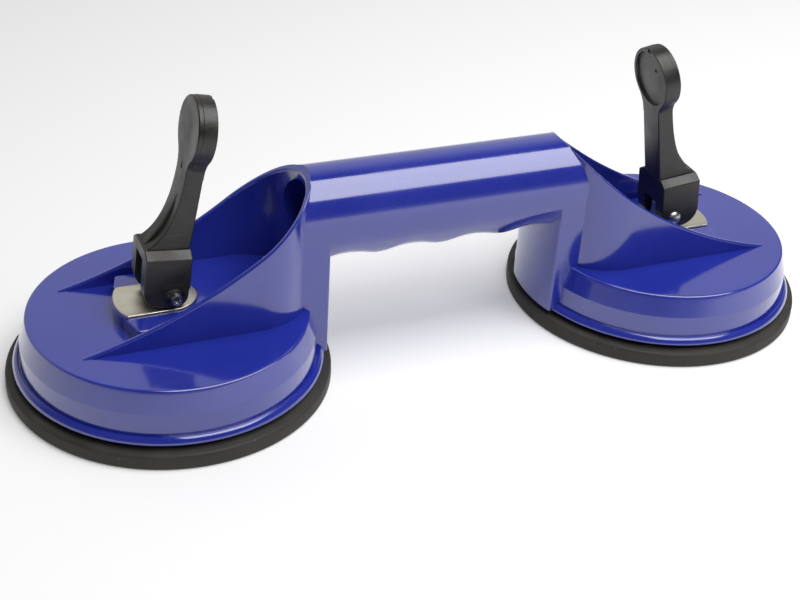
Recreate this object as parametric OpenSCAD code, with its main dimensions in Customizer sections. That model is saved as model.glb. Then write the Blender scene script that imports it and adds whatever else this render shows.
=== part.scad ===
// Double suction lifter: two rubber pads under one moulded housing with a hollow
// handle, and a cam lever on each cup. Millimetres, +Z up, X along the handle,
// origin on the standing surface, midway between the two cups.

/* [Cups] */
// Distance between the two cup axes
cup_pitch = 206; // [180:1:260]
// Radius of the lip at the foot of each cup
lip_r = 57; // [55:0.5:62]
// Height of the underside of the lip above the standing surface
lip_z = 8; // [7.6:0.1:10]
// Height of the lip
lip_h = 2.8; // [2:0.1:4]
// Height of the flat top of each cup
disc_z = 27.2; // [25:0.1:32]
// Thickness of the cup walls and of the flat top
wall_t = 3; // [2:0.1:4]

/* [Handle] */
// Radius of the handle tube
tube_r = 16.5; // [14:0.1:19]
// Height of the handle's axis
tube_z = 60.6; // [56:0.1:70]
// Radius of the hollow through the handle
bore_r = 11.5; // [8:0.1:12.5]
// How far the finger keel hangs below the round tube
keel_drop = 3.5; // [2:0.1:6]
// Spacing of the finger grooves
groove_pitch = 25.4; // [22:0.1:30]
// Depth of the finger grooves
groove_depth = 2; // [0.5:0.1:3]

/* [Scoops] */
// Outside half width of a scoop
scoop_r = 24; // [22:0.1:28]
// Thickness of the scoop walls
scoop_t = 2; // [1.6:0.1:3]
// Distance from the cup axis to the centre of the scoop's round end
scoop_end = 28.2; // [22:0.1:29]
// Distance from the cup axis to the tips of the scoop walls
scoop_tip = 38; // [30:0.5:42]
// Radius of the hollow curve of the scoop's rim
slide_r = 185; // [160:1:260]
// Height of the scoop's floor above the flat top of the cup
floor_h = 5.2; // [4:0.1:8]

/* [Pads] */
// Radius of the rubber pads
pad_r = 60; // [58.5:0.5:66]
// Height of the upright edge of a pad
pad_edge = 6; // [4:0.1:6.4]
// Radius of the steel disc that carries the stud
disc_r = 24; // [18:0.5:30]
// Radius of the stud
stud_r = 4; // [3:0.1:5]
// Wire diameter of the return spring
wire_d = 1.3; // [0.8:0.1:1.8]

/* [Levers] */
// Width of the lever's forked foot
fork_w = 20; // [17:0.5:24]
// Distance from the pin to the lower face of the foot
cam_low = 5; // [4:0.1:6]
// Distance from the pin to the outer face of the foot
cam_high = 11.3; // [9:0.1:13]
// Distance from the pin to the centre of the thumb paddle
lever_len = 60; // [50:1:80]
// Radius of the thumb paddle
paddle_r = 12.2; // [10:0.1:16]
// Thickness of the thumb paddle
paddle_t = 6.8; // [5:0.1:9]
// Width of the lever's stem
stem_w = 12; // [8:0.5:14]
// Lean of the released lever towards the handle
lean = 6; // [2:0.5:10]
// Radius of the hinge pin
pin_r = 2; // [1.5:0.1:2.5]
// Thickness of the wear plate
plate_t = 1.4; // [1:0.1:2]

/* [Fits] */
// Gap between the pin and the eye of the stud
pin_clear = 0.06; // [0.02:0.01:0.1]
// Gap round the stud where it passes the housing and the wear plate
stud_clear = 0.3; // [0.2:0.05:0.6]
// Gap between the stud and each leg of the fork
fork_clear = 0.3; // [0.2:0.05:0.6]
// Gap between a part that moves and the part below it at rest
rest_gap = 0.3; // [0.2:0.05:0.5]
// Gap round the wear plate in its seat
seat_gap = 0.5; // [0.3:0.1:1]

/* [Hidden] */

$fn = 96;
arc_steps = 24;         // straight steps in a half turn of a drawn outline
cut = 1;                // how far a cutting shape runs past the solid it cuts

// cup shell
shoulder_z = disc_z - 8.4;
wall_r = lip_r - 3.1;
disc_top_r = lip_r - 5.4;
roof_z = disc_z - wall_t;

// scoop
floor_z = disc_z + floor_h;
slide_x = 79;
tip_drop = 42;          // from the slide's centre back to where its rim meets the cup
slide_z = disc_z + sqrt(slide_r * slide_r - tip_drop * tip_drop);
boss_r = 20.5;
platform_x = 16;        // where the raised floor ends beside the wear plate
core_wall = 2.6;
core_z = floor_z - 3.6;

// wear plate and its seat
plate_half = 10.3;
plate_end_r = 20;
seat_depth = 0.6;
seat_z = floor_z - seat_depth;
plate_z = seat_z + plate_t;
recess_end_r = plate_half + 1.3;

// lever and pin
pin_z = plate_z + cam_low + rest_gap;
fork_slot = 2 * (stud_r + fork_clear);
foot_top = 16.9;
foot_inner = cam_low + 0.4;
outer_corner_r = 7;
foot_slope = 6;         // the lower face rises outwards by this angle
slot_roof = stud_r + 2;
relief_roof = 12.6;
relief_start = 1;
stem_lean = 5;          // lean of the stem beyond the lean of the foot
web_w = 3.6;
recess_r = paddle_r - 1.7;
recess_depth = 1;
head_r = 3.1;
head_h = 1.8;
pin_tail = 3.2;         // how far the plain end stands out of the fork
ring_r = 3.6;
ring_t = 0.9;

// post that carries each end of the handle
post_half = tube_r - 0.2;
post_r = lip_r + 1.4;     // its end face is round about the cup axis, a little proud of the lip

// finger grooves
keel_r = tube_r - 0.1;
groove_r = 12;
valley_r = keel_r + keel_drop - groove_depth + 0.1;

// stud, disc and spring
disc_t = 2;
pad_seat_z = 9;
disc_z0 = pad_seat_z + rest_gap;
disc_z1 = disc_z0 + disc_t;
foot_flange_r = stud_r + 2.6;
foot_flange_h = 1.6;
washer_t = 1;
washer_r = 11;
spring_r = foot_flange_r + 1.4 + wire_d / 2;
spring_turns = 3.5;
spring_low = disc_z1 + wire_d / 2 + 0.05;
spring_high = roof_z - washer_t - wire_d / 2 - 0.05;

// points on a round stretch of an outline, from angle a0 to a1
function arc(c, r, a0, a1, n = arc_steps) =
    [for (i = [0:n]) let (a = a0 + (a1 - a0) * i / n) [c[0] + r * cos(a), c[1] + r * sin(a)]];

// points on a smooth curve from p0 to p2 that is drawn towards p1
function curve(p0, p1, p2, n = 12) =
    [for (i = [0:n]) let (t = i / n) (1 - t) * (1 - t) * p0 + 2 * t * (1 - t) * p1 + t * t * p2];

// puts a shape drawn for one cup in its place: outwards is +X in its own frame
module at_cup(side) {
    rotate([0, 0, side > 0 ? 0 : 180])
        translate([cup_pitch / 2, 0, 0])
            children();
}

// turns a shape drawn in the lever's own upright frame to its released lean
module at_lever() {
    translate([0, 0, pin_z])
        rotate([0, -lean, 0])
            children();
}

// extrudes an outline drawn in X and Z, w wide and centred on Y
module across(w) {
    translate([0, w / 2, 0])
        rotate([90, 0, 0])
            linear_extrude(w)
                children();
}

/* ---- housing ---- */

module cup_outside() {
    rotate_extrude()
        polygon([
            [0, lip_z], [lip_r - 0.6, lip_z], [lip_r, lip_z + 0.7], [lip_r - 0.4, lip_z + lip_h - 0.6],
            [lip_r - 1, lip_z + lip_h], [wall_r + 0.6, lip_z + lip_h], [wall_r, shoulder_z],
            [disc_top_r, disc_z - 0.4], [disc_top_r - 0.4, disc_z], [0, disc_z]
        ]);
}

module cup_inside() {
    rotate_extrude()
        polygon([
            [0, lip_z - cut], [wall_r - wall_t + 0.6, lip_z - cut], [wall_r - wall_t, shoulder_z],
            [disc_top_r - wall_t, roof_z], [0, roof_z]
        ]);
}

// plan of a scoop: straight sides and a round end towards the handle
module scoop_plan(r, tip) {
    polygon(concat(
        arc([-scoop_end, 0], r, 90, 270),
        [[tip, -r], [tip, r]]
    ));
}

module slide_cut() {
    translate([slide_x, 0, slide_z])
        rotate([90, 0, 0])
            cylinder(r = slide_r, h = 4 * scoop_r, center = true, $fn = 360);
}

module post() {
    intersection() {
        translate([-post_r - cut, -post_half, lip_z])
            cube([post_r - scoop_end - 14 + cut, 2 * post_half, tube_z - lip_z]);
        translate([0, 0, lip_z])
            cylinder(r = post_r, h = tube_z);
    }
}

// scoop, post and one end of the tube, trimmed along the slide
module cup_top() {
    difference() {
        union() {
            translate([0, 0, disc_z - 1])
                linear_extrude(tube_z + tube_r - disc_z + cut)
                    scoop_plan(scoop_r, scoop_tip);
            post();
        }
        translate([0, 0, disc_z - 1 - cut])
            linear_extrude(tube_z + tube_r)
                scoop_plan(scoop_r - scoop_t, scoop_tip + cut);
        slide_cut();
    }
}

// raised floor of the scoop with the seat of the wear plate
module scoop_floor() {
    difference() {
        translate([0, 0, disc_z - 1])
            linear_extrude(floor_h + 1)
                intersection() {
                    scoop_plan(scoop_r - scoop_t / 2, scoop_tip);
                    union() {
                        circle(r = boss_r);
                        translate([platform_x - 3 * scoop_r, -scoop_r])
                            square([3 * scoop_r, 2 * scoop_r]);
                    }
                }
        translate([0, 0, seat_z])
            linear_extrude(floor_h)
                polygon(concat(
                    arc([0, 0], recess_end_r, 90 + 14, 270 - 14),
                    [[-0.5, -plate_half - seat_gap], [boss_r + cut, -plate_half - seat_gap],
                     [boss_r + cut, plate_half + seat_gap], [-0.5, plate_half + seat_gap]]
                ));
    }
}

// pocket that cores out the raised floor from below, round the stud's boss
module floor_core() {
    difference() {
        translate([0, 0, roof_z - cut])
            linear_extrude(core_z - roof_z + cut)
                intersection() {
                    scoop_plan(scoop_r - scoop_t - core_wall, scoop_tip);
                    translate([platform_x - core_wall - 3 * scoop_r, -scoop_r])
                        square([3 * scoop_r, 2 * scoop_r]);
                }
        translate([0, 0, roof_z - 2 * cut])
            cylinder(r = washer_r + 1, h = core_z);
    }
}

module tube_outside() {
    half = cup_pitch / 2 - scoop_end - scoop_r + scoop_t / 2 + 6;
    difference() {
        translate([-half, 0, 0])
            rotate([0, 90, 0])
                union() {
                    translate([-tube_z, 0, 0])
                        cylinder(r = tube_r, h = 2 * half);
                    translate([keel_drop - tube_z, 0, 0])
                        cylinder(r = keel_r, h = 2 * half);
                }
        for (i = [-1.5:1:1.5])
            translate([i * groove_pitch, 0, tube_z])
                rotate([0, 90, 0])
                    rotate_extrude()
                        translate([valley_r + groove_r, 0])
                            circle(r = groove_r);
        for (side = [-1, 1])
            at_cup(side) {
                translate([0, 0, disc_z])
                    linear_extrude(tube_z + tube_r)
                        scoop_plan(scoop_r - scoop_t, scoop_tip);
                slide_cut();
            }
    }
}

module housing() {
    color([0.13, 0.17, 0.62])
    difference() {
        union() {
            for (side = [-1, 1])
                at_cup(side) {
                    cup_outside();
                    cup_top();
                    scoop_floor();
                }
            tube_outside();
        }
        for (side = [-1, 1])
            at_cup(side) {
                cup_inside();
                floor_core();
                cylinder(r = stud_r + stud_clear, h = 2 * floor_z);
            }
        translate([0, 0, tube_z])
            rotate([0, 90, 0])
                cylinder(r = bore_r, h = cup_pitch - 2 * scoop_end, center = true);
    }
}

/* ---- pads, studs and springs ---- */

module pad(side) {
    color([0.10, 0.10, 0.10])
    at_cup(side)
        rotate_extrude()
            polygon([
                [0, 2.5], [disc_r, 2.5], [pad_r - 10, 0], [pad_r - 0.8, 0], [pad_r, 0.8],
                [pad_r, pad_edge - 1], [pad_r - 0.8, pad_edge], [lip_r - 1, pad_edge + 0.5],
                [lip_r - 7, pad_edge + 1.3], [disc_r + 14, pad_seat_z + 0.4],
                [disc_r + 3, disc_z1 - rest_gap], [disc_r + 0.4, disc_z1 - rest_gap],
                [disc_r + 0.4, pad_seat_z], [0, pad_seat_z]
            ]);
}

module backing_disc(side) {
    color([0.62, 0.63, 0.64])
    at_cup(side)
        translate([0, 0, disc_z0])
            cylinder(r = disc_r, h = disc_t);
}

module stud(side) {
    color([0.70, 0.71, 0.72])
    at_cup(side)
        difference() {
            union() {
                translate([0, 0, disc_z1])
                    cylinder(r = foot_flange_r, h = foot_flange_h);
                translate([0, 0, disc_z1])
                    cylinder(r = stud_r, h = pin_z - disc_z1 + stud_r - 1);
                translate([0, 0, pin_z + stud_r - 1])
                    cylinder(r1 = stud_r, r2 = stud_r - 1.4, h = 1.4);
            }
            translate([0, 0, pin_z])
                rotate([90, 0, 0])
                    cylinder(r = pin_r + pin_clear, h = 4 * stud_r, center = true);
        }
}

// round wire wound in a helix, with one ring of points every ring_step degrees
module spring(side) {
    ring_step = 15;
    sides = 8;
    rings = spring_turns * 360 / ring_step;
    function ring_point(i, j) =
        let (
            turn = i * ring_step,
            a = 360 * j / sides,
            r = spring_r + wire_d / 2 * cos(a),
            z = spring_low + (spring_high - spring_low) * i / rings + wire_d / 2 * sin(a)
        ) [r * cos(turn), r * sin(turn), z];
    color([0.66, 0.67, 0.68])
    at_cup(side)
        polyhedron(
            points = [for (i = [0:rings]) for (j = [0:sides - 1]) ring_point(i, j)],
            faces = concat(
                [[for (j = [0:sides - 1]) j]],
                [for (i = [0:rings - 1]) for (j = [0:sides - 1])
                    [i * sides + j, (i + 1) * sides + j,
                     (i + 1) * sides + (j + 1) % sides, i * sides + (j + 1) % sides]],
                [[for (j = [sides - 1:-1:0]) rings * sides + j]]
            )
        );
}

module spring_washer(side) {
    color([0.66, 0.67, 0.68])
    at_cup(side)
        translate([0, 0, roof_z - washer_t])
            difference() {
                cylinder(r = washer_r, h = washer_t);
                translate([0, 0, -cut])
                    cylinder(r = stud_r + 1, h = washer_t + 2 * cut);
            }
}

/* ---- wear plates, levers and pins ---- */

module wear_plate(side) {
    end_angle = asin(plate_half / plate_end_r);
    color([0.85, 0.84, 0.78])
    at_cup(side)
        translate([0, 0, seat_z])
            difference() {
                linear_extrude(plate_t)
                    polygon(concat(
                        arc([0, 0], plate_half, 90, 270),
                        arc([0, 0], plate_end_r, -end_angle, end_angle)
                    ));
                translate([0, 0, -cut])
                    cylinder(r = stud_r + stud_clear, h = plate_t + 2 * cut);
            }
}

// side view of the lever's foot: round below the pin, rising to a large outer corner
module foot_outline() {
    corner_x = cam_high - outer_corner_r;
    corner_z = corner_x * tan(foot_slope) + (outer_corner_r - cam_low) / cos(foot_slope);
    polygon(concat(
        arc([0, 0], cam_low, 180, 270 + foot_slope),
        arc([corner_x, corner_z], outer_corner_r, 270 + foot_slope, 360),
        [[cam_high, foot_top - 0.8], [cam_high - 0.8, foot_top],
         [-foot_inner, foot_top], [-foot_inner, 3], [-cam_low, 2]]
    ));
}

// side view of the stem: p1 draws its hollow outer edge inwards
module stem_outline(p1) {
    top = lever_len - 4;
    back = -foot_inner - 0.1;
    shift = (top - foot_top + 3) * tan(stem_lean);
    polygon(concat(
        [[back, foot_top - 3], [back - shift, top], [back - shift + paddle_t, top]],
        curve([back - shift + paddle_t, top - 8], p1, [cam_high - 1, foot_top - 0.1]),
        [[cam_high - 1, foot_top - 3]]
    ));
}

module lever(side) {
    paddle_x = -foot_inner - (lever_len - foot_top) * tan(stem_lean) + paddle_t / 2;
    color([0.09, 0.09, 0.09])
    at_cup(side)
        at_lever()
            difference() {
                union() {
                    across(fork_w)
                        foot_outline();
                    across(stem_w)
                        stem_outline([-3, foot_top + 7]);
                    across(web_w)
                        stem_outline([0.5, foot_top + 13]);
                    translate([paddle_x, 0, lever_len])
                        rotate([0, 90 - stem_lean, 0])
                            cylinder(r = paddle_r, h = paddle_t, center = true);
                }
                // thumb recess in the face towards the handle
                translate([paddle_x, 0, lever_len])
                    rotate([0, 90 - stem_lean, 0])
                        translate([0, 0, -paddle_t / 2 - cut])
                            cylinder(r = recess_r, h = recess_depth + cut);
                // slot between the legs
                translate([-foot_inner - cut, -fork_slot / 2, -2 * cam_low])
                    cube([foot_inner + cam_high + 2 * cut, fork_slot, slot_roof + 2 * cam_low]);
                translate([relief_start, -fork_slot / 2, 0])
                    cube([cam_high, fork_slot, relief_roof]);
                rotate([90, 0, 0])
                    cylinder(r = pin_r, h = fork_w + 2 * cut, center = true);
            }
}

module hinge_pin(side) {
    color([0.75, 0.76, 0.78])
    at_cup(side)
        translate([0, 0, pin_z])
            rotate([90, 0, 0]) {
                translate([0, 0, -fork_w / 2 - pin_tail])
                    cylinder(r = pin_r, h = fork_w + pin_tail);
                translate([0, 0, fork_w / 2])
                    intersection() {
                        cylinder(r = head_r, h = head_h);
                        translate([0, 0, head_h - 4.2])
                            sphere(r = 4.2);
                    }
            }
}

module pin_ring(side) {
    color([0.25, 0.25, 0.26])
    at_cup(side)
        translate([0, fork_w / 2 + ring_t, pin_z])
            rotate([90, 0, 0])
                difference() {
                    cylinder(r = ring_r, h = ring_t);
                    translate([0, 0, -cut])
                        cylinder(r = pin_r, h = ring_t + 2 * cut);
                }
}

housing();
pad(-1);  // left_pad
backing_disc(-1);  // left_backing_disc
stud(-1);  // left_stud
spring(-1);  // left_spring
spring_washer(-1);  // left_spring_washer
wear_plate(-1);  // left_wear_plate
lever(-1);  // left_lever
hinge_pin(-1);  // left_hinge_pin
pin_ring(-1);  // left_pin_ring
pad(1);  // right_pad
backing_disc(1);  // right_backing_disc
stud(1);  // right_stud
spring(1);  // right_spring
spring_washer(1);  // right_spring_washer
wear_plate(1);  // right_wear_plate
lever(1);  // right_lever
hinge_pin(1);  // right_hinge_pin
pin_ring(1);  // right_pin_ring
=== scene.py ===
import math

import bpy
from mathutils import Matrix, Vector
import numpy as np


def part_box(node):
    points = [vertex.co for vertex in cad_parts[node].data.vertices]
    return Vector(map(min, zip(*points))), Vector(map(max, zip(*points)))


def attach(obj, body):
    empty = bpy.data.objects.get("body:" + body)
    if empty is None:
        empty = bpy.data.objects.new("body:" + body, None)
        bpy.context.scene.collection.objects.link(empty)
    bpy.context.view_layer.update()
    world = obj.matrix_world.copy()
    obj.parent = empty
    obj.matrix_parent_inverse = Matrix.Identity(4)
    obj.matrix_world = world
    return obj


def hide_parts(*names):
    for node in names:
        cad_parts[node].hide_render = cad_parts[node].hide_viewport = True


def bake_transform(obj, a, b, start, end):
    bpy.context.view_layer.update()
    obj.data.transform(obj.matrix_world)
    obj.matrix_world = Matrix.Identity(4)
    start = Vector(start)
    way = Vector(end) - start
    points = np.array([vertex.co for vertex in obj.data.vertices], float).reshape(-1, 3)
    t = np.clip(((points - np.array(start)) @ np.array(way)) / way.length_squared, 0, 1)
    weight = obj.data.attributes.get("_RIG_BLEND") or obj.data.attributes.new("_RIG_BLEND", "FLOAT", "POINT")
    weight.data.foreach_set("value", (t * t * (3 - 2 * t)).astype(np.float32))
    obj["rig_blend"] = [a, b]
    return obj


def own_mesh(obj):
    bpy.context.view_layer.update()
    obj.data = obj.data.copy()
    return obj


mm = 0.001
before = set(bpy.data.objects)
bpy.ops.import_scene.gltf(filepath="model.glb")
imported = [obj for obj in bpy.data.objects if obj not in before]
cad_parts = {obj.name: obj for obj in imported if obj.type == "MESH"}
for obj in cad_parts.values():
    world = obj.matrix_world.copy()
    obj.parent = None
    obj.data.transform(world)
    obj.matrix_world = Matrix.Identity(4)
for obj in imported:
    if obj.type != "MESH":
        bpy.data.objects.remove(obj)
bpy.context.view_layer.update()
print("frame loaded:", len(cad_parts), "nodes")


# places taken from the CAD nodes

padLow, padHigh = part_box("right_pad")
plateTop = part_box("right_wear_plate")[1].z / mm
pinLow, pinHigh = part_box("right_hinge_pin")
cupX = (padLow.x + padHigh.x) / 2
cup = cupX / mm
pinZ = (pinLow.z + pinHigh.z) / 2


# small tools

def startClean():
    current = bpy.context.object
    if current and current.mode != "OBJECT":
        bpy.ops.object.mode_set(mode="OBJECT")
    bpy.ops.object.select_all(action="DESELECT")


def pick(piece):
    startClean()
    piece.select_set(True)
    bpy.context.view_layer.objects.active = piece


def editAll(piece):
    pick(piece)
    bpy.ops.object.mode_set(mode="EDIT")
    bpy.ops.mesh.select_all(action="SELECT")


def leaveEdit():
    bpy.ops.object.mode_set(mode="OBJECT")


# edit mode with only the edges or faces for which the test holds
def editSome(piece, kind, test):
    pick(piece)
    bpy.context.tool_settings.mesh_select_mode = (False, kind == "EDGE", kind == "FACE")
    mesh = piece.data
    for vertex in mesh.vertices:
        vertex.select = False
    for edge in mesh.edges:
        edge.select = kind == "EDGE" and test([mesh.vertices[i].co for i in edge.vertices])
    for face in mesh.polygons:
        face.select = kind == "FACE" and test([mesh.vertices[i].co for i in face.vertices])
    bpy.ops.object.mode_set(mode="EDIT")


def applyPlace(piece):
    pick(piece)
    bpy.ops.object.transform_apply(location=True, rotation=True, scale=True)


def tidyNormals(piece, merge=0.0):
    editAll(piece)
    if merge:
        bpy.ops.mesh.remove_doubles(threshold=merge)
    bpy.ops.mesh.normals_make_consistent(inside=False)
    leaveEdit()


def applyModifier(piece, kind, **settings):
    pick(piece)
    modifier = piece.modifiers.new(kind.title(), kind)
    for key, value in settings.items():
        setattr(modifier, key, value)
    bpy.ops.object.modifier_apply(modifier=modifier.name)


def combine(piece, other, operation):
    applyModifier(piece, "BOOLEAN", object=other, operation=operation, solver="EXACT")
    bpy.data.objects.remove(other)


def softEdges(piece, width, segments=3, angle=30):
    applyModifier(piece, "BEVEL", width=width * mm, segments=segments, limit_method="ANGLE",
                  angle_limit=math.radians(angle), harden_normals=False, use_clamp_overlap=True)


def smoothFinish(piece, angle=32):
    pick(piece)
    bpy.ops.object.shade_smooth_by_angle(angle=math.radians(angle))


# rings are (radius, height) in millimetres, from the bottom face round to the top face
def turned(name, rings, sides=160):
    startClean()
    radius, height = rings[0]
    bpy.ops.mesh.primitive_circle_add(
        vertices=sides, radius=radius * mm, fill_type="NGON", location=(0, 0, height * mm))
    piece = bpy.context.object
    piece.name = name
    bpy.ops.object.mode_set(mode="EDIT")
    bpy.ops.mesh.select_all(action="SELECT")
    for nextRadius, nextHeight in rings[1:]:
        rise, grow = (nextHeight - height) * mm, nextRadius / radius
        bpy.ops.mesh.extrude_region_move(TRANSFORM_OT_translate={"value": (0, 0, rise)})
        bpy.ops.transform.resize(value=(grow, grow, 1), center_override=(0, 0, nextHeight * mm))
        radius, height = nextRadius, nextHeight
    leaveEdit()
    applyPlace(piece)
    tidyNormals(piece)
    return piece


# a face with one corner for each point of the outline, pulled through from start to end;
# the outline lies in X and Y ("Z" pull) or in X and Z ("Y" pull), in millimetres
def pulled(name, outline, start, end, along="Z"):
    startClean()
    bpy.ops.mesh.primitive_circle_add(vertices=len(outline), radius=1 * mm, fill_type="NGON")
    piece = bpy.context.object
    piece.name = name
    for vertex, (first, second) in zip(piece.data.vertices, outline):
        x, y, z = (first, second, start) if along == "Z" else (first, start, second)
        vertex.co = (x * mm, y * mm, z * mm)
    bpy.ops.object.mode_set(mode="EDIT")
    bpy.ops.mesh.select_all(action="SELECT")
    pull = (end - start) * mm
    move = (0, 0, pull) if along == "Z" else (0, pull, 0)
    bpy.ops.mesh.extrude_region_move(TRANSFORM_OT_translate={"value": move})
    leaveEdit()
    tidyNormals(piece)
    return piece


def arcPoints(cx, cy, radius, startDeg, endDeg, count):
    points = []
    for i in range(count + 1):
        a = math.radians(startDeg + (endDeg - startDeg) * i / count)
        points.append((cx + radius * math.cos(a), cy + radius * math.sin(a)))
    return points


def curvePoints(p0, p1, p2, count):
    points = []
    for i in range(count + 1):
        t = i / count
        first, second, third = (1 - t) ** 2, 2 * t * (1 - t), t * t
        points.append(tuple(first * a + second * b + third * c for a, b, c in zip(p0, p1, p2)))
    return points


def placeAt(piece, move=(0, 0, 0), turn=None):
    piece.location = move
    if turn:
        piece.rotation_euler = turn
    applyPlace(piece)
    return piece


def copyOf(piece, name):
    twin = piece.copy()
    twin.data = piece.data.copy()
    twin.name = name
    twin.data.name = name
    bpy.context.scene.collection.objects.link(twin)
    return twin


# the other cup's piece is the same one turned half a turn about Z
def otherCup(piece, name):
    return placeAt(copyOf(piece, name), turn=(0, 0, math.pi))


# shared effects for the materials

def newGroup(name, inputs, outputs):
    tree = bpy.data.node_groups.new(name, "ShaderNodeTree")
    for label, value in inputs.items():
        socket = tree.interface.new_socket(name=label, in_out="INPUT", socket_type="NodeSocketFloat")
        socket.default_value = value
    for label, kind in outputs.items():
        tree.interface.new_socket(name=label, in_out="OUTPUT", socket_type="NodeSocket" + kind)
    return tree, tree.nodes.new("NodeGroupInput"), tree.nodes.new("NodeGroupOutput")


def mathNode(tree, operation):
    node = tree.nodes.new("ShaderNodeMath")
    node.operation = operation
    return node


# fine even grain of a moulded or blasted surface
def grainGroup():
    given = {"Scale": 2500.0, "Depth": 0.00002, "Strength": 0.3}
    tree, given, result = newGroup("mouldGrain", given, {"Normal": "Vector", "Value": "Float"})
    place = tree.nodes.new("ShaderNodeTexCoord")
    noise = tree.nodes.new("ShaderNodeTexNoise")
    noise.inputs["Detail"].default_value = 3.0
    noise.inputs["Roughness"].default_value = 0.55
    bump = tree.nodes.new("ShaderNodeBump")
    tree.links.new(place.outputs["Object"], noise.inputs["Vector"])
    tree.links.new(given.outputs["Scale"], noise.inputs["Scale"])
    tree.links.new(noise.outputs["Fac"], bump.inputs["Height"])
    tree.links.new(given.outputs["Depth"], bump.inputs["Distance"])
    tree.links.new(given.outputs["Strength"], bump.inputs["Strength"])
    tree.links.new(bump.outputs["Normal"], result.inputs["Normal"])
    tree.links.new(noise.outputs["Fac"], result.inputs["Value"])
    return tree


# slow cloudy change of tone across a piece
def cloudGroup():
    given = {"Scale": 30.0, "Low": 0.35, "High": 0.7}
    tree, given, result = newGroup("slowClouds", given, {"Mask": "Float"})
    place = tree.nodes.new("ShaderNodeTexCoord")
    noise = tree.nodes.new("ShaderNodeTexNoise")
    noise.inputs["Detail"].default_value = 5.0
    spread = tree.nodes.new("ShaderNodeMapRange")
    tree.links.new(place.outputs["Object"], noise.inputs["Vector"])
    tree.links.new(given.outputs["Scale"], noise.inputs["Scale"])
    tree.links.new(noise.outputs["Fac"], spread.inputs["Value"])
    tree.links.new(given.outputs["Low"], spread.inputs["From Min"])
    tree.links.new(given.outputs["High"], spread.inputs["From Max"])
    tree.links.new(spread.outputs["Result"], result.inputs["Mask"])
    return tree


# small scattered specks of dust
def speckGroup():
    given = {"Scale": 300.0, "Size": 0.06, "Share": 0.6}
    tree, given, result = newGroup("dustSpecks", given, {"Mask": "Float"})
    place = tree.nodes.new("ShaderNodeTexCoord")
    cells = tree.nodes.new("ShaderNodeTexVoronoi")
    patch = tree.nodes.new("ShaderNodeTexNoise")
    patch.inputs["Scale"].default_value = 45.0
    near = mathNode(tree, "LESS_THAN")
    some = mathNode(tree, "GREATER_THAN")
    both = mathNode(tree, "MULTIPLY")
    tree.links.new(place.outputs["Object"], cells.inputs["Vector"])
    tree.links.new(place.outputs["Object"], patch.inputs["Vector"])
    tree.links.new(given.outputs["Scale"], cells.inputs["Scale"])
    tree.links.new(cells.outputs["Distance"], near.inputs[0])
    tree.links.new(given.outputs["Size"], near.inputs[1])
    tree.links.new(patch.outputs["Fac"], some.inputs[0])
    tree.links.new(given.outputs["Share"], some.inputs[1])
    tree.links.new(near.outputs["Value"], both.inputs[0])
    tree.links.new(some.outputs["Value"], both.inputs[1])
    tree.links.new(both.outputs["Value"], result.inputs["Mask"])
    return tree


# fine straight scratches, stretched along one direction
def scratchGroup():
    given = {"Across": 2200.0, "Along": 60.0, "Threshold": 0.62}
    tree, given, result = newGroup("hairScratches", given, {"Mask": "Float"})
    place = tree.nodes.new("ShaderNodeTexCoord")
    stretch = tree.nodes.new("ShaderNodeMapping")
    stretch.inputs["Rotation"].default_value = (0, 0, math.radians(24))
    joined = tree.nodes.new("ShaderNodeCombineXYZ")
    noise = tree.nodes.new("ShaderNodeTexNoise")
    noise.inputs["Scale"].default_value = 1.0
    noise.inputs["Detail"].default_value = 2.0
    spread = tree.nodes.new("ShaderNodeMapRange")
    tree.links.new(given.outputs["Along"], joined.inputs["X"])
    tree.links.new(given.outputs["Across"], joined.inputs["Y"])
    tree.links.new(given.outputs["Across"], joined.inputs["Z"])
    tree.links.new(joined.outputs["Vector"], stretch.inputs["Scale"])
    tree.links.new(place.outputs["Object"], stretch.inputs["Vector"])
    tree.links.new(stretch.outputs["Vector"], noise.inputs["Vector"])
    tree.links.new(noise.outputs["Fac"], spread.inputs["Value"])
    tree.links.new(given.outputs["Threshold"], spread.inputs["From Min"])
    spread.inputs["From Max"].default_value = 0.8
    tree.links.new(spread.outputs["Result"], result.inputs["Mask"])
    return tree


mouldGrain = grainGroup()
slowClouds = cloudGroup()
dustSpecks = speckGroup()
hairScratches = scratchGroup()


def newMaterial(name, look):
    material = bpy.data.materials.new(name)
    material.use_nodes = True
    shader = material.node_tree.nodes["Principled BSDF"]
    shader.inputs["Metallic"].default_value = look.get("metallic", 0.0)
    shader.inputs["IOR"].default_value = 1.5
    shader.inputs["Specular IOR Level"].default_value = look.get("specular", 0.5)
    shader.inputs["Coat Weight"].default_value = look.get("coat", 0.0)
    shader.inputs["Coat Roughness"].default_value = 0.08
    return material, material.node_tree, shader


def addGroup(tree, group, **values):
    node = tree.nodes.new("ShaderNodeGroup")
    node.node_tree = group
    for key, value in values.items():
        node.inputs[key].default_value = value
    return node


def mixColour(tree, mask, first, second, share=1.0):
    mix = tree.nodes.new("ShaderNodeMix")
    mix.data_type = "RGBA"
    if share == 1.0:
        tree.links.new(mask, mix.inputs["Factor"])
    else:
        less = mathNode(tree, "MULTIPLY")
        less.inputs[1].default_value = share
        tree.links.new(mask, less.inputs[0])
        tree.links.new(less.outputs["Value"], mix.inputs["Factor"])
    for socket, value in ((mix.inputs["A"], first), (mix.inputs["B"], second)):
        if isinstance(value, tuple):
            socket.default_value = (*value, 1)
        else:
            tree.links.new(value, socket)
    return mix.outputs["Result"]


def mixValue(tree, mask, low, high):
    spread = tree.nodes.new("ShaderNodeMapRange")
    spread.inputs["To Min"].default_value = low
    spread.inputs["To Max"].default_value = high
    tree.links.new(mask, spread.inputs["Value"])
    return spread.outputs["Result"]


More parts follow.
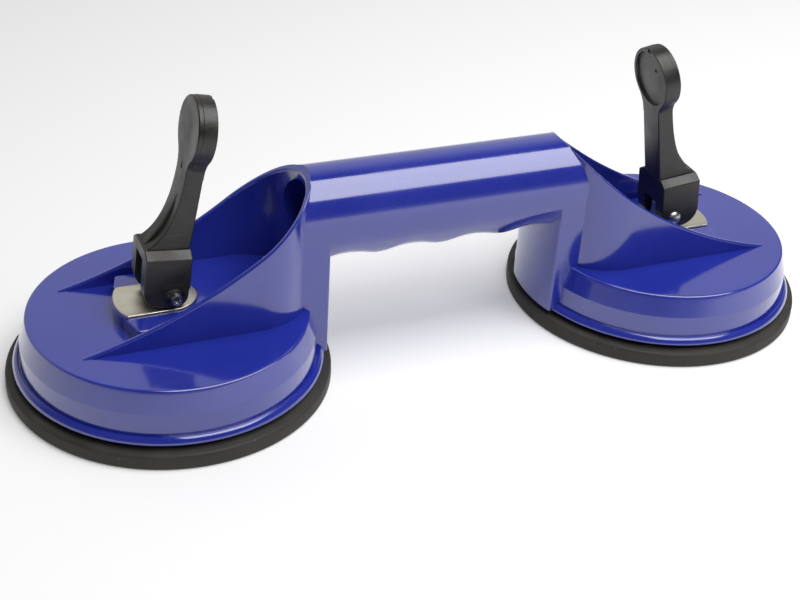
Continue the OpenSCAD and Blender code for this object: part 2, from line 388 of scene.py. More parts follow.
# every finish: a clouded base colour, dust specks, a grain in the normal and an uneven roughness
def makeFinish(name, look):
    material, tree, shader = newMaterial(name, look)
    clouds = addGroup(tree, slowClouds, Scale=look["cloudScale"])
    grain = addGroup(tree, mouldGrain, Scale=look["grainScale"], Depth=look["grainDepth"] * mm,
                     Strength=look["grainStrength"])
    colour = mixColour(tree, clouds.outputs["Mask"], look["colour"], look["clouded"])
    if look.get("scratch"):
        scratches = addGroup(tree, hairScratches)
        colour = mixColour(tree, scratches.outputs["Mask"], colour, look["scratch"], look["scratchShare"])
    if look.get("dust"):
        specks = addGroup(tree, dustSpecks, Scale=look["dustScale"], Size=look["dustSize"],
                          Share=look["dustShare"])
        colour = mixColour(tree, specks.outputs["Mask"], colour, look["dust"], 0.7)
    tree.links.new(colour, shader.inputs["Base Color"])
    tree.links.new(mixValue(tree, clouds.outputs["Mask"], *look["roughness"]), shader.inputs["Roughness"])
    tree.links.new(grain.outputs["Normal"], shader.inputs["Normal"])
    return material


blueLook = {
    "colour": (0.019, 0.032, 0.36), "clouded": (0.025, 0.041, 0.41),
    "roughness": (0.11, 0.19), "cloudScale": 28, "specular": 0.9, "coat": 0.9,
    "grainScale": 900, "grainDepth": 0.02, "grainStrength": 0.12,
    "dust": (0.16, 0.18, 0.46), "dustScale": 700, "dustSize": 0.09, "dustShare": 0.52,
}
rubberLook = {
    "colour": (0.034, 0.032, 0.027), "clouded": (0.058, 0.053, 0.045),
    "roughness": (0.55, 0.75), "cloudScale": 60, "specular": 0.4,
    "grainScale": 1800, "grainDepth": 0.06, "grainStrength": 0.35,
    "dust": (0.16, 0.15, 0.14), "dustScale": 500, "dustSize": 0.12, "dustShare": 0.58,
}
leverLook = {
    "colour": (0.017, 0.0155, 0.0135), "clouded": (0.031, 0.028, 0.024),
    "roughness": (0.28, 0.50), "cloudScale": 90, "specular": 0.6,
    "grainScale": 1300, "grainDepth": 0.14, "grainStrength": 0.55,
    "scratch": (0.15, 0.14, 0.125), "scratchShare": 0.3,
}
nickelLook = {
    "colour": (0.90, 0.86, 0.72), "clouded": (0.82, 0.78, 0.64), "metallic": 1.0,
    "roughness": (0.30, 0.42), "cloudScale": 120,
    "grainScale": 1500, "grainDepth": 0.01, "grainStrength": 0.15,
    "scratch": (0.50, 0.48, 0.42), "scratchShare": 0.6,
}
pinLook = {
    "colour": (0.62, 0.62, 0.62), "clouded": (0.50, 0.50, 0.51), "metallic": 1.0,
    "roughness": (0.28, 0.40), "cloudScale": 300,
    "grainScale": 2500, "grainDepth": 0.01, "grainStrength": 0.15,
}
ringLook = {
    "colour": (0.055, 0.053, 0.050), "clouded": (0.11, 0.10, 0.09), "metallic": 0.85,
    "roughness": (0.30, 0.50), "cloudScale": 400,
    "grainScale": 2500, "grainDepth": 0.02, "grainStrength": 0.25,
}
zincLook = {
    "colour": (0.56, 0.57, 0.58), "clouded": (0.44, 0.45, 0.47), "metallic": 1.0,
    "roughness": (0.30, 0.45), "cloudScale": 150,
    "grainScale": 1800, "grainDepth": 0.02, "grainStrength": 0.2,
}
springLook = {
    "colour": (0.42, 0.42, 0.43), "clouded": (0.30, 0.30, 0.31), "metallic": 1.0,
    "roughness": (0.28, 0.40), "cloudScale": 250,
    "grainScale": 2500, "grainDepth": 0.01, "grainStrength": 0.2,
}
bluePlastic = makeFinish("bluePlastic", blueLook)
blackRubber = makeFinish("blackRubber", rubberLook)
blackPlastic = makeFinish("blackPlastic", leverLook)
nickelPlate = makeFinish("nickelPlate", nickelLook)
pinSteel = makeFinish("pinSteel", pinLook)
blackSteel = makeFinish("blackSteel", ringLook)
zincSteel = makeFinish("zincSteel", zincLook)
springSteel = makeFinish("springSteel", springLook)
print("materials made")


def dress(piece, material):
    piece.data.materials.clear()
    piece.data.materials.append(material)


# housing: one half is made, then mirrored

housingSizes = {
    "cupRings": [
        (56.1, 8.0), (56.7, 8.08), (57.0, 8.5), (56.95, 9.1), (56.6, 9.8), (56.15, 10.4), (55.65, 10.75),
        (55.2, 10.8), (54.85, 10.6), (54.62, 10.35), (54.45, 10.4), (54.35, 10.8), (54.28, 11.6),
        (54.1, 15.0), (53.95, 18.5), (53.9, 18.85), (53.78, 19.15), (51.85, 25.6), (51.6, 26.5),
        (51.4, 26.92), (51.05, 27.14), (50.6, 27.2), (49.8, 27.2),
    ],
    "hollowRings": [(51.5, 7.0), (51.4, 10.0), (50.9, 18.8), (48.6, 24.0), (48.0, 24.2), (47.0, 24.2)],
    "discTop": 27.2,
    "scoopRadius": 24.0, "scoopWall": 2.0, "wallRoot": 2.2, "scoopEnd": 28.2, "scoopTip": 37.2,
    "slideRadius": 185.0, "slideX": 79.0, "slideZ": 207.37, "insideOver": 0.3, "insideReach": 45,
    "rimRound": 0.8, "postEdge": 0.7, "platformEdge": 0.5, "bossEdge": 0.6,
    "platformTop": 32.4, "platformFront": -4.0,
    "bossRadius": 20.5, "bossTurn": 26, "bossCorner": (15.5, 19.5),
    "seatDepth": 0.6, "seatGap": 0.8, "plateHalf": 10.3, "seatEnd": 24, "studHole": 4.3,
    "tubeRadius": 16.5, "tubeZ": 60.6, "keelDrop": 3.5,
    "boreRadius": 11.5, "mouthRadius": 13.6, "mouthDepth": 14, "mouthStraight": 12, "mouthFlare": 2,
    "groovePitch": 25.4, "valleyRadius": 18.0, "grooveRadius": 40.0,
    "postHalf": 16.3, "postReach": 58.4, "postRoot": 12, "postLow": 8.0,
}


# height of the scoop's rim at a distance from the cup's axis, outwards
def rimHeight(outward, sizes):
    run = outward - sizes["slideX"]
    return sizes["slideZ"] - math.sqrt(max(sizes["slideRadius"] ** 2 - run ** 2, 0))


def scoopOutline(radius, reach, sizes):
    centre = cup - sizes["scoopEnd"]
    points = arcPoints(centre, 0, radius, 90, 270, 48)
    return points + [(cup + reach, -radius), (cup + reach, radius)]


# the curved wall: a path along its middle is raised to the rim and thickened, and its rim is rounded
def makeScoopWall(sizes):
    middle = sizes["scoopRadius"] - sizes["scoopWall"] / 2
    centre = cup - sizes["scoopEnd"]
    base = sizes["discTop"] - sizes["wallRoot"]
    straight, raised = 30, 10
    tip, run = cup + sizes["scoopTip"], sizes["scoopTip"] + sizes["scoopEnd"]
    path = [(tip - run * i / straight, middle) for i in range(straight)]
    path += arcPoints(centre, 0, middle, 90, 270, 56)
    path += [(x, -y) for x, y in reversed(path[:straight])]
    startClean()
    bpy.ops.mesh.primitive_circle_add(vertices=len(path), radius=1 * mm, fill_type="NOTHING")
    wall = bpy.context.object
    wall.name = "scoopWall"
    for vertex, (x, y) in zip(wall.data.vertices, path):
        vertex.co = (x * mm, y * mm, base * mm)
    # the ring is opened across the scoop's mouth
    editSome(wall, "EDGE", lambda ends: all(abs(p.x / mm - tip) < 0.01 for p in ends))
    bpy.ops.mesh.delete(type="EDGE_FACE")
    bpy.ops.mesh.select_all(action="SELECT")
    bpy.ops.mesh.extrude_region_move(TRANSFORM_OT_translate={"value": (0, 0, raised * mm)})
    leaveEdit()
    applyModifier(wall, "SOLIDIFY", thickness=sizes["scoopWall"] * mm, offset=0, use_even_offset=True)
    tidyNormals(wall)
    for vertex in wall.data.vertices:
        if vertex.co.z / mm > base + raised / 2:
            vertex.co.z = rimHeight(vertex.co.x / mm - cup, sizes) * mm

    # an edge of the rim that runs along the wall, not across it
    def onRim(ends):
        a, b = ends
        high = all(abs(p.z / mm - rimHeight(p.x / mm - cup, sizes)) < 0.02 for p in ends)
        along = abs(a.y - b.y) < 1e-7 and abs(a.x - b.x) > 1e-5
        around = max(a.x, b.x) < centre * mm + 1e-5
        across = abs((a - b).xy.length - sizes["scoopWall"] * mm) < 2e-5
        return high and (along or around) and not across

    editSome(wall, "EDGE", onRim)
    bpy.ops.mesh.bevel(offset=sizes["rimRound"] * mm, segments=4, affect="EDGES")
    leaveEdit()
    tidyNormals(wall, merge=1e-6)
    return wall


def groovedRadius(x, angle, sizes):
    drop, lower = sizes["keelDrop"], sizes["tubeRadius"] - 0.1
    outer = sizes["tubeRadius"]
    if math.cos(angle) > 0:
        outer = max(outer, drop * math.cos(angle) + math.sqrt(lower ** 2 - (drop * math.sin(angle)) ** 2))
    pitch = sizes["groovePitch"]
    nearest = min((abs(x - pitch * (i - 1.5)) for i in range(4)))
    reach = sizes["grooveRadius"]
    valley = sizes["valleyRadius"] + reach - math.sqrt(max(reach ** 2 - min(nearest, reach) ** 2, 0))
    soft = 0.5
    gap = max(soft - abs(outer - valley), 0) / soft
    return min(outer, valley) - gap * gap * soft / 4


# half of the handle: rings along X, each drawn in where a finger lies
def makeHandleHalf(sizes):
    startClean()
    sides, reach, step = 120, 62.0, 0.8
    count = round(reach / step)
    bpy.ops.mesh.primitive_circle_add(vertices=sides, radius=sizes["tubeRadius"] * mm, fill_type="NGON")
    tube = bpy.context.object
    tube.name = "handleHalf"
    for i, vertex in enumerate(tube.data.vertices):
        a = 2 * math.pi * i / sides
        vertex.co = (0, math.sin(a) * mm, -math.cos(a) * mm)
    bpy.ops.object.mode_set(mode="EDIT")
    bpy.ops.mesh.select_all(action="SELECT")
    for i in range(count):
        bpy.ops.mesh.extrude_region_move(TRANSFORM_OT_translate={"value": (reach / count * mm, 0, 0)})
    leaveEdit()
    for vertex in tube.data.vertices:
        angle = math.atan2(vertex.co.y, -vertex.co.z)
        radius = groovedRadius(vertex.co.x / mm, angle, sizes) * mm
        vertex.co = (vertex.co.x, radius * math.sin(angle), sizes["tubeZ"] * mm - radius * math.cos(angle))
    tidyNormals(tube)
    return tube


def makePost(sizes):
    half, reach = sizes["postHalf"], sizes["postReach"]
    side = math.degrees(math.asin(half / reach))
    outline = arcPoints(cup, 0, reach, 180 + side, 180 - side, 24)
    root = cup - sizes["scoopEnd"] - sizes["postRoot"]
    outline += [(root, half), (root, -half)]
    post = pulled("post", outline, sizes["postLow"], sizes["tubeZ"])

    # the two upright corners that face the handle
    def atCorner(ends):
        a, b = ends
        upright = abs(a.x - b.x) < 1e-7 and abs(a.y - b.y) < 1e-7
        return upright and abs(abs(a.y) - half * mm) < 1e-6 and a.x / mm < root - 1

    editSome(post, "EDGE", atCorner)
    bpy.ops.mesh.bevel(offset=sizes["postEdge"] * mm, segments=3, affect="EDGES")
    leaveEdit()
    return post


def makeSlide(sizes):
    startClean()
    bpy.ops.mesh.primitive_cylinder_add(
        vertices=720, radius=sizes["slideRadius"] * mm, depth=120 * mm,
        location=((cup + sizes["slideX"]) * mm, 0, sizes["slideZ"] * mm), rotation=(math.pi / 2, 0, 0),
    )
    slide = bpy.context.object
    applyPlace(slide)
    return slide


def makePlatform(sizes):
    inside = sizes["scoopRadius"] - sizes["scoopWall"] / 2
    top, low = sizes["platformTop"], sizes["discTop"] - 1
    platform = pulled("platform", scoopOutline(inside, sizes["platformFront"], sizes), low, top)
    softEdges(platform, sizes["platformEdge"], 3, 60)
    r, turn, (corner, side) = sizes["bossRadius"], sizes["bossTurn"], sizes["bossCorner"]
    outline = [(cup + corner, -side)] + arcPoints(cup, 0, r, -turn, turn, 24) + [(cup + corner, side)]
    outline += [(cup - 8, side), (cup - 8, -side)]
    boss = pulled("boss", outline, low, top - 0.02)
    softEdges(boss, sizes["bossEdge"], 4, 40)
    combine(platform, boss, "UNION")
    return platform


def plateOutline(half, endRadius):
    side = math.degrees(math.asin(half / endRadius))
    outline = arcPoints(0, 0, half, 90, 270, 40)
    outline += arcPoints(0, 0, endRadius, -side, side, 28)
    return [(cup + x, y) for x, y in outline]


def makeHousing(sizes):
    housing = turned("housingShell", sizes["cupRings"], 192)
    placeAt(housing, (cupX, 0, 0))
    handle = makeHandleHalf(sizes)
    combine(handle, makePost(sizes), "UNION")
    inner = sizes["scoopRadius"] - sizes["scoopWall"] + sizes["insideOver"]
    outline = scoopOutline(inner, sizes["insideReach"], sizes)
    prism = pulled("scoopInside", outline, sizes["discTop"] + 0.5, 120)
    combine(handle, prism, "DIFFERENCE")
    combine(handle, makeSlide(sizes), "DIFFERENCE")
    combine(housing, makePlatform(sizes), "UNION")
    combine(housing, makeScoopWall(sizes), "UNION")
    combine(housing, handle, "UNION")
    print("housing: outside joined")
    hollow = turned("cupHollow", sizes["hollowRings"], 160)
    placeAt(hollow, (cupX, 0, 0))
    combine(housing, hollow, "DIFFERENCE")
    gap = sizes["seatGap"]
    outline = plateOutline(sizes["plateHalf"] + gap, sizes["seatEnd"])
    seat = pulled("plateSeat", outline, sizes["platformTop"] - sizes["seatDepth"], 40)
    combine(housing, seat, "DIFFERENCE")
    hole = turned("studHole", [(sizes["studHole"], 20), (sizes["studHole"], 40)], 48)
    placeAt(hole, (cupX, 0, 0))
    combine(housing, hole, "DIFFERENCE")
    bore = turned("bore", [(sizes["boreRadius"], -5), (sizes["boreRadius"], cup - sizes["scoopEnd"])], 96)
    placeAt(bore, (0, 0, sizes["tubeZ"] * mm), (0, math.pi / 2, 0))
    combine(housing, bore, "DIFFERENCE")
    wide, mouth = sizes["mouthRadius"], cup - sizes["scoopEnd"]
    bell = turned("boreMouth", [(wide - sizes["mouthFlare"], mouth - sizes["mouthDepth"]),
                                (wide, mouth - sizes["mouthStraight"]), (wide, mouth)], 96)
    placeAt(bell, (0, 0, sizes["tubeZ"] * mm), (0, math.pi / 2, 0))
    combine(housing, bell, "DIFFERENCE")
    # the end face on the middle plane goes, so the mirrored half joins on
    editSome(housing, "FACE", lambda corners: all(abs(p.x) < 1e-6 for p in corners))
    bpy.ops.mesh.delete(type="FACE")
    leaveEdit()
    applyModifier(housing, "MIRROR", use_axis=(True, False, False), use_mirror_merge=True,
                  merge_threshold=1e-5)
    tidyNormals(housing, merge=1e-6)
    smoothFinish(housing, 28)
    applyModifier(housing, "WEIGHTED_NORMAL", keep_sharp=True, weight=60)
    return housing


housing = makeHousing(housingSizes)
dress(housing, bluePlastic)
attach(housing, "frame")
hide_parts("housing")
print("housing made:", len(housing.data.polygons), "faces")


# pads

padSizes = {
    "rings": [
        (24.0, 2.5), (36.0, 1.45), (44.0, 0.75), (49.0, 0.32), (50.2, 0.05), (50.8, 0.0), (51.6, 0.05),
        (52.2, 0.42), (53.4, 0.42), (54.0, 0.05), (54.6, 0.0), (58.9, 0.0), (59.6, 0.2), (59.95, 0.7),
        (60.0, 1.5), (59.9, 3.2), (59.9, 4.6), (59.75, 5.35), (59.3, 5.8), (58.6, 5.95), (57.2, 6.05),
        (56.0, 6.45), (53.0, 6.85), (50.0, 7.3), (44.0, 8.3), (38.0, 9.3), (31.0, 10.4), (28.0, 10.9),
        (27.0, 11.0), (24.9, 11.0), (24.45, 10.8), (24.4, 9.0), (12.0, 9.0),
    ],
    "stillFrom": 49.0, "liftedWithin": 25.0,
}


def makePad(sizes):
    pad = turned("rightPadRubber", sizes["rings"], 192)
    placeAt(pad, (cupX, 0, 0))
    smoothFinish(pad, 38)
    return pad


# the middle rises with the steel disc, and the rim stays on the surface
def bendPad(pad, side, centreX, sizes):
    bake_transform(pad, "frame", side + "_stud_body", start=(centreX, 0, 0), end=(centreX, 0, 20 * mm))
    near, far = sizes["liftedWithin"] * mm, sizes["stillFrom"] * mm
    for vertex, weight in zip(pad.data.vertices, pad.data.attributes["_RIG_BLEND"].data):
        out = math.hypot(vertex.co.x - centreX, vertex.co.y)
        t = min(max((far - out) / (far - near), 0), 1)
        weight.value = t * t * (3 - 2 * t)


rightPad = makePad(padSizes)
leftPad = otherCup(rightPad, "leftPadRubber")
for side, pad, centreX in (("right", rightPad, cupX), ("left", leftPad, -cupX)):
    dress(pad, blackRubber)
    bendPad(pad, side, centreX, padSizes)
    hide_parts(side + "_pad")
print("pads made")


# levers, drawn upright round the pin and then leaned

leverSizes = {
    "footWidth": 20.0, "camLow": 5.0, "camHigh": 11.3, "cornerRadius": 7.0, "footSlope": 6.0,
    "footTop": 16.9, "shelfDrop": 2.6, "shelfOver": 0.01, "footInner": 5.4,
    "slot": 8.6, "slotRoof": 6.0, "reliefRoof": 12.6, "reliefStart": 1.0,
    "stemWidth": 12.0, "webWidth": 3.6, "stemLean": 5.0, "length": 60.0,
    "stemCurve": (46.2, 23.0), "webCurve": (45.0, 31.0), "webInset": 0.37,
    "footEdge": 0.45, "stemEdge": 0.6, "webEdge": 0.4, "slotEdge": 0.3,
    "paddleRadius": 12.2, "paddleThick": 6.8, "recessRadius": 10.5, "recessDepth": 1.0,
    "partingStep": 1.7, "paddleInset": 0.17, "rimEdge": 0.3, "paddleEdge": 0.55,
    "dotRadius": 0.7, "dotPlace": (-4.3, -3), "nickHalf": 1.1, "gateHalf": 1.3,
    "neckSweep": 9.0, "neckFoot": 16.5, "stemTop": 48.0, "slotDown": 13.0, "lean": 6.0, "pinRadius": 2.0,
}


def footOutline(s):
    slope = math.radians(s["footSlope"])
    cornerX = s["camHigh"] - s["cornerRadius"]
    cornerZ = cornerX * math.tan(slope) + (s["cornerRadius"] - s["camLow"]) / math.cos(slope)
    outline = arcPoints(0, 0, s["camLow"], 180, 270 + s["footSlope"], 18)
    outline += arcPoints(cornerX, cornerZ, s["cornerRadius"], 270 + s["footSlope"], 360, 16)
    top, inner = s["footTop"], -s["footInner"]
    return outline + [(s["camHigh"], top), (inner, top), (inner, 3.0), (-s["camLow"], 2.0)]


# where the paddle's outer face stands at a height, on its leaning line
def outerFace(s, height):
    lean = math.radians(s["stemLean"])
    middle = -s["footInner"] - (s["length"] - s["footTop"]) * math.tan(lean) + s["paddleThick"] / 2
    return middle + s["paddleThick"] / 2 / math.cos(lean) + (s["length"] - height) * math.tan(lean)


def stemOutline(s, leave, bend, inset=0.12):
    top, low = s["stemTop"], s["footTop"] - 3
    thick = s["paddleThick"] / math.cos(math.radians(s["stemLean"])) - inset
    outline = [(outerFace(s, low) - thick, low), (outerFace(s, top) - thick, top),
               (outerFace(s, top) - inset, top)]
    foot = s["camHigh"] - 1.0
    outline += curvePoints((outerFace(s, leave) - inset, leave), (outerFace(s, bend) - inset, bend),
                           (foot, s["footTop"] + 0.1), 24)
    return outline + [(foot, low)]


# the paddle's face: a round head that runs into the neck in two hollow curves (X points down)
def paddleOutline(s, less=0.0):
    r, neck, sweep = s["paddleRadius"] - less, s["stemWidth"] / 2 - 0.15 - less, s["neckSweep"] + less
    drop = math.sqrt((r + sweep) ** 2 - (neck + sweep) ** 2)
    meet = math.degrees(math.asin((neck + sweep) / (r + sweep)))
    outline = arcPoints(0, 0, r, meet, 360 - meet, 72)
    outline += arcPoints(drop, -(neck + sweep), sweep, 180 - meet, 90, 14)[1:]
    outline += [(s["neckFoot"], -neck), (s["neckFoot"], neck)]
    return outline + arcPoints(drop, neck + sweep, sweep, 270, 180 + meet, 14)[:-1]


def makePaddle(s):
    t, inner, deep = s["paddleThick"], s["recessRadius"], s["recessDepth"]
    # the parting line runs where the rim ends
    rim = pulled("paddleRim", paddleOutline(s), -t / 2, t / 2 - s["partingStep"])
    softEdges(rim, s["rimEdge"], 3, 50)
    bowl = turned("bowl", [(inner + 0.6, -t / 2 - 0.8), (inner + 0.05, -t / 2 + deep - 0.3),
                           (inner - 0.35, -t / 2 + deep)], 90)
    combine(rim, bowl, "DIFFERENCE")
    dot = turned("ejectorDot", [(s["dotRadius"], -t / 2 + 0.3), (s["dotRadius"], -t / 2 + deep + 0.4)], 32)
    placeAt(dot, (s["dotPlace"][0] * mm, s["dotPlace"][1] * mm, 0))
    combine(rim, dot, "DIFFERENCE")
    half = s["nickHalf"]
    corners = [(-14, -half), (-11, -half), (-11, half), (-14, half)]
    nick = pulled("rimNick", corners, -t / 2 - 1, -t / 2 + 0.45)
    combine(rim, nick, "DIFFERENCE")
    body = pulled("paddle", paddleOutline(s, s["paddleInset"]), -t / 2 + deep + 0.6, t / 2)
    softEdges(body, s["paddleEdge"], 4, 50)
    combine(rim, body, "UNION")
    return rim


# what is cut off so that the top of the foot slopes in to the stem on one side
def makeShoulder(s, side):
    top, inside, outside = s["footTop"] + s["shelfOver"], s["stemWidth"] / 2 + 0.6, s["footWidth"] / 2 + 0.6
    wedge = pulled("shoulder", [(-20, top), (30, top), (30, top - 5), (-20, top - 5)], 0, 6, "Y")
    for vertex in wedge.data.vertices:
        near = vertex.co.y / mm < 3
        if vertex.co.z / mm < s["footTop"] - 1:
            vertex.co.z = (top if near else s["footTop"] - s["shelfDrop"]) * mm
        vertex.co.y = side * (inside if near else outside) * mm
    tidyNormals(wedge, merge=1e-6)
    return wedge


# the slot between the cheeks of the foot, with its higher relief outwards
def makeSlot(s):
    half, roof, start, high = s["slot"] / 2, s["slotRoof"], s["reliefStart"], s["reliefRoof"]
    slot = pulled("slotLow", [(-12, -12), (20, -12), (20, roof), (-12, roof)], -half, half, "Y")
    relief = pulled("slotHigh", [(start, 0), (20, 0), (20, high), (start, high)], -half, half, "Y")
    combine(slot, relief, "UNION")
    softEdges(slot, s["slotEdge"], 2, 35)
    return slot


def makeLever(s):
    half, stemHalf, webHalf = s["footWidth"] / 2, s["stemWidth"] / 2, s["webWidth"] / 2
    lever = pulled("rightLeverArm", footOutline(s), -half, half, "Y")
    for side in (-1, 1):
        combine(lever, makeShoulder(s, side), "DIFFERENCE")
    softEdges(lever, s["footEdge"], 3, 35)
    stem = pulled("stem", stemOutline(s, *s["stemCurve"]), -stemHalf, stemHalf, "Y")
    softEdges(stem, s["stemEdge"], 3, 35)
    web = pulled("web", stemOutline(s, *s["webCurve"], s["webInset"]), -webHalf, webHalf, "Y")
    softEdges(web, s["webEdge"], 2, 35)
    combine(lever, stem, "UNION")
    combine(lever, web, "UNION")
    t = s["paddleThick"]
    lean = math.radians(s["stemLean"])
    paddle = makePaddle(s)
    paddleX = -s["footInner"] - (s["length"] - s["footTop"]) * math.tan(lean) + t / 2
    placeAt(paddle, (paddleX * mm, 0, s["length"] * mm), (0, math.pi / 2 - lean, 0))
    combine(lever, paddle, "UNION")
    combine(lever, makeSlot(s), "DIFFERENCE")
    eye = turned("eye", [(s["pinRadius"], -14), (s["pinRadius"], 14)], 40)
    placeAt(eye, turn=(math.pi / 2, 0, 0))
    combine(lever, eye, "DIFFERENCE")
    # a small upright slot on the outer face, at the neck
    down, tall = s["slotDown"], s["gateHalf"]
    notch = pulled("gateSlot", [(-1, -tall), (1, -tall), (1, tall), (-1, tall)], -0.5, 0.5, "Y")
    notchX = paddleX + (t / 2) / math.cos(lean) + down * math.tan(lean)
    placeAt(notch, (notchX * mm, 0, (s["length"] - down) * mm), (0, -lean, 0))
    combine(lever, notch, "DIFFERENCE")
    placeAt(lever, turn=(0, -math.radians(s["lean"]), 0))
    placeAt(lever, (cupX, 0, pinZ))
    tidyNormals(lever, merge=1e-6)
    smoothFinish(lever, 30)
    applyModifier(lever, "WEIGHTED_NORMAL", keep_sharp=True, weight=60)
    return lever


rightLever = makeLever(leverSizes)
leftLever = otherCup(rightLever, "leftLeverArm")
for side, lever in (("right", rightLever), ("left", leftLever)):
    dress(lever, blackPlastic)
    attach(lever, side + "_lever_body")
    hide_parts(side + "_lever")
print("levers made")


# wear plates

plateSizes = {"half": 10.3, "endRadius": 20.0, "thick": 1.4, "hole": 4.3, "edge": 0.3}


def makePlate(s):
    top = plateTop
    plate = pulled("rightPlate", plateOutline(s["half"], s["endRadius"]), top - s["thick"], top)
    hole = turned("hole", [(s["hole"], top - 4), (s["hole"], top + 4)], 48)
    placeAt(hole, (cupX, 0, 0))
    combine(plate, hole, "DIFFERENCE")
    softEdges(plate, s["edge"], 3, 40)
    smoothFinish(plate, 30)
    return plate


rightPlate = makePlate(plateSizes)
leftPlate = otherCup(rightPlate, "leftPlate")
for side, plate in (("right", rightPlate), ("left", leftPlate)):
    dress(plate, nickelPlate)
    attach(plate, "frame")
    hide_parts(side + "_wear_plate")


# hinge pins and their push-on rings

pinSizes = {
    "radius": 2.0, "head": 3.1, "headHeight": 1.8, "width": 20.0, "tail": 3.2,
    "ring": 3.6, "ringThick": 0.9, "slits": 6,
}


def makePin(s):
    r, head, face = s["radius"], s["head"], s["width"] / 2
    end = -face - s["tail"]
    pin = turned("rightPin", [
        (r * 0.5, end + 0.9), (r * 0.55, end + 0.25), (r * 0.62, end),
        (r - 0.35, end), (r - 0.08, end + 0.1), (r, end + 0.4), (r, face),
        (head - 0.35, face), (head - 0.05, face + 0.1), (head, face + 0.35), (head - 0.25, face + 0.8),
        (head - 0.9, face + 1.35), (head - 1.8, face + 1.7), (0.6, face + s["headHeight"]),
    ], 48)
    placeAt(pin, turn=(math.pi / 2, 0, 0))
    placeAt(pin, (cupX, 0, pinZ))
    smoothFinish(pin, 45)
    return pin


def makeRing(s):
    r, out, t = s["radius"], s["ring"], s["ringThick"]
    ring = turned("rightRing", [
        (out - 0.3, 0), (out, 0.1), (out, 0.35), (out - 0.35, 0.5),
        (r + 0.9, 0.45), (r + 0.5, t - 0.1), (r + 0.25, t),
    ], 60)
    cutter = turned("ringHole", [(r, -1), (r, 3)], 48)
    combine(ring, cutter, "DIFFERENCE")
    # the gripping tongues: short slits outwards from the hole
    near, far, half = r - 0.5, r + 0.95, 0.14
    for i in range(s["slits"]):
        slit = pulled("slit", [(near, -half), (far, -half), (far, half), (near, half)], -1, 3)
        placeAt(slit, turn=(0, 0, math.radians(360 / s["slits"] * i + 15)))
        combine(ring, slit, "DIFFERENCE")
    placeAt(ring, turn=(-math.pi / 2, 0, 0))
    placeAt(ring, (cupX, s["width"] / 2 * mm, pinZ))
    smoothFinish(ring, 40)
    return ring


rightPin = makePin(pinSizes)
rightRing = makeRing(pinSizes)
leftPin = otherCup(rightPin, "leftPin")
leftRing = otherCup(rightRing, "leftRing")
for side, pin, ring in (("right", rightPin, rightRing), ("left", leftPin, leftRing)):
    dress(pin, pinSteel)
    dress(ring, blackSteel)
    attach(pin, side + "_lever_body")
    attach(ring, side + "_lever_body")
    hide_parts(side + "_hinge_pin")
    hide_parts(side + "_pin_ring")
print("plates, pins and rings made")


# return springs

springSizes = {"radius": 8.65, "wire": 1.3, "turns": 3.5, "stepsPerTurn": 28, "lift": 6.5}


def makeSpring(side, s):
    low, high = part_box(side + "_spring")
    centreX = cupX if side == "right" else -cupX
    wire = s["wire"] / 2
    startClean()
    bpy.ops.mesh.primitive_circle_add(
        vertices=14, radius=wire * mm, fill_type="NGON", rotation=(math.pi / 2, 0, 0),
        location=(centreX + s["radius"] * mm, 0, low.z + wire * mm))
    spring = bpy.context.object
    spring.name = side + "SpringWire"
    applyPlace(spring)
    steps = round(s["turns"] * s["stepsPerTurn"])
    turn = -math.radians(360 * s["turns"] / steps)
    height = high.z - low.z
    rise = height - s["wire"] * mm
    bpy.ops.object.mode_set(mode="EDIT")
    bpy.ops.mesh.select_all(action="SELECT")
    for i in range(steps):
        bpy.ops.mesh.extrude_region_move(TRANSFORM_OT_translate={"value": (0, 0, rise / steps)})
        bpy.ops.transform.rotate(value=turn, orient_axis="Z", center_override=(centreX, 0, 0))
    leaveEdit()
    tidyNormals(spring)
    smoothFinish(spring, 40)
    dress(spring, springSteel)
    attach(spring, "frame")
    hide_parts(side + "_spring")
    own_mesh(spring)


for side in ("left", "right"):
    makeSpring(side, springSizes)


# CAD pieces that stay as they are, with their own finish

for side in ("left", "right"):
    for part in ("stud", "backing_disc", "spring_washer"):
        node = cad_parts[side + "_" + part]
        node.data.materials.clear()
        node.data.materials.append(zincSteel)
print("inner pieces dressed")


# floor, lights and camera

stageSizes = {"floor": (0.93, 0.93, 0.93), "floorSize": 6.0, "floorGlow": 0.2}


# 1 for what the camera sees straight, in a gloss or through glass, and 0 for what only lights
def seenMask(tree):
    paths = tree.nodes.new("ShaderNodeLightPath")
    straight = mathNode(tree, "MAXIMUM")
    tree.links.new(paths.outputs["Is Camera Ray"], straight.inputs[0])
    tree.links.new(paths.outputs["Is Glossy Ray"], straight.inputs[1])
    through = mathNode(tree, "MAXIMUM")
    tree.links.new(straight.outputs["Value"], through.inputs[0])
    tree.links.new(paths.outputs["Is Transmission Ray"], through.inputs[1])
    return through.outputs["Value"]


def makeFloor(s):
    startClean()
    bpy.ops.mesh.primitive_plane_add(size=s["floorSize"], location=(0, 0, 0))
    floor = bpy.context.object
    floor.name = "floor"
    material = bpy.data.materials.new("paleFloor")
    material.use_nodes = True
    tree = material.node_tree
    shader = tree.nodes["Principled BSDF"]
    shader.inputs["Base Color"].default_value = (*s["floor"], 1)
    shader.inputs["Roughness"].default_value = 0.9
    shader.inputs["Specular IOR Level"].default_value = 0.1
    shader.inputs["Emission Color"].default_value = (1, 1, 1, 1)
    tree.links.new(mixValue(tree, seenMask(tree), 0.0, s["floorGlow"]), shader.inputs["Emission Strength"])
    floor.data.materials.append(material)


makeFloor(stageSizes)

lightSizes = {
    "overhead": {
        "place": (0.34, -0.38, 1.05), "aim": (0.34, -0.37, 0.0),
        "long": 1.0, "wide": 1.15, "watts": 14.5,
    },
}


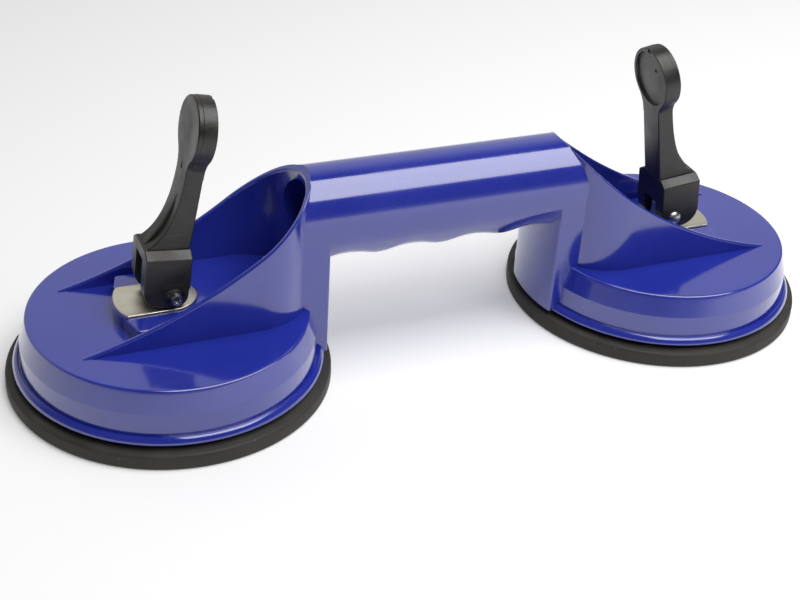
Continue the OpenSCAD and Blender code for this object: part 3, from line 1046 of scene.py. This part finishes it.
def makeLight(name, s):
    startClean()
    bpy.ops.object.light_add(type="AREA", location=s["place"])
    light = bpy.context.object
    light.name = name
    light.data.shape = "RECTANGLE"
    light.data.size = s["long"]
    light.data.size_y = s["wide"]
    light.data.energy = s["watts"]
    light.rotation_euler = (Vector(s["aim"]) - Vector(s["place"])).to_track_quat("-Z", "Y").to_euler()


for lightName, lightSize in lightSizes.items():
    makeLight(lightName, lightSize)

# the room: pale at the level of the horizon and dim above it, less so behind the object
roomLevels = {"front": [(0.0, 0.32), (0.04, 0.28), (0.12, 0.07), (1.0, 0.05)], "back": 0.52}


def makeRoom(levels):
    world = bpy.data.worlds.new("studio")
    bpy.context.scene.world = world
    world.use_nodes = True
    tree = world.node_tree
    way = tree.nodes.new("ShaderNodeTexCoord")
    parts = tree.nodes.new("ShaderNodeSeparateXYZ")
    ramp = tree.nodes.new("ShaderNodeValToRGB")
    stops = ramp.color_ramp.elements
    stops.remove(stops[1])
    for i, (height, level) in enumerate(levels["front"]):
        stop = stops[0] if i == 0 else stops.new(height)
        stop.position = height
        stop.color = (level, level, level, 1)
    behind = tree.nodes.new("ShaderNodeMapRange")
    behind.inputs["From Min"].default_value = 0.3
    behind.inputs["From Max"].default_value = 0.7
    behind.inputs["To Max"].default_value = levels["back"]
    brighter = mathNode(tree, "MAXIMUM")
    tree.links.new(way.outputs["Generated"], parts.inputs["Vector"])
    tree.links.new(parts.outputs["Z"], ramp.inputs["Fac"])
    tree.links.new(parts.outputs["Y"], behind.inputs["Value"])
    tree.links.new(ramp.outputs["Color"], brighter.inputs[0])
    tree.links.new(behind.outputs["Result"], brighter.inputs[1])
    tree.links.new(brighter.outputs["Value"], tree.nodes["Background"].inputs["Strength"])
    tree.nodes["Background"].inputs["Color"].default_value = (1, 1, 1, 1)


makeRoom(roomLevels)

cameraSizes = {
    "place": (-0.20526, -0.43499, 0.31496),
    "right": (0.92591, -0.37327, 0.05802),
    "down": (-0.15459, -0.51456, -0.84340),
    "ahead": (0.34467, 0.77194, -0.53414),
    "lens": 64.66,
}


def makeCamera(s):
    camera = bpy.data.objects.new("camera", bpy.data.cameras.new("camera"))
    bpy.context.scene.collection.objects.link(camera)
    right, down, ahead = (Vector(s[key]).normalized() for key in ("right", "down", "ahead"))
    turn = Matrix((right, -down, -ahead)).transposed().to_4x4()
    camera.matrix_world = Matrix.Translation(s["place"]) @ turn
    camera.data.lens = s["lens"]
    camera.data.sensor_width = 36
    camera.data.clip_start = 0.01
    bpy.context.scene.camera = camera


makeCamera(cameraSizes)
bpy.context.scene.view_settings.view_transform = "Standard"
print("stage, lights and camera set")
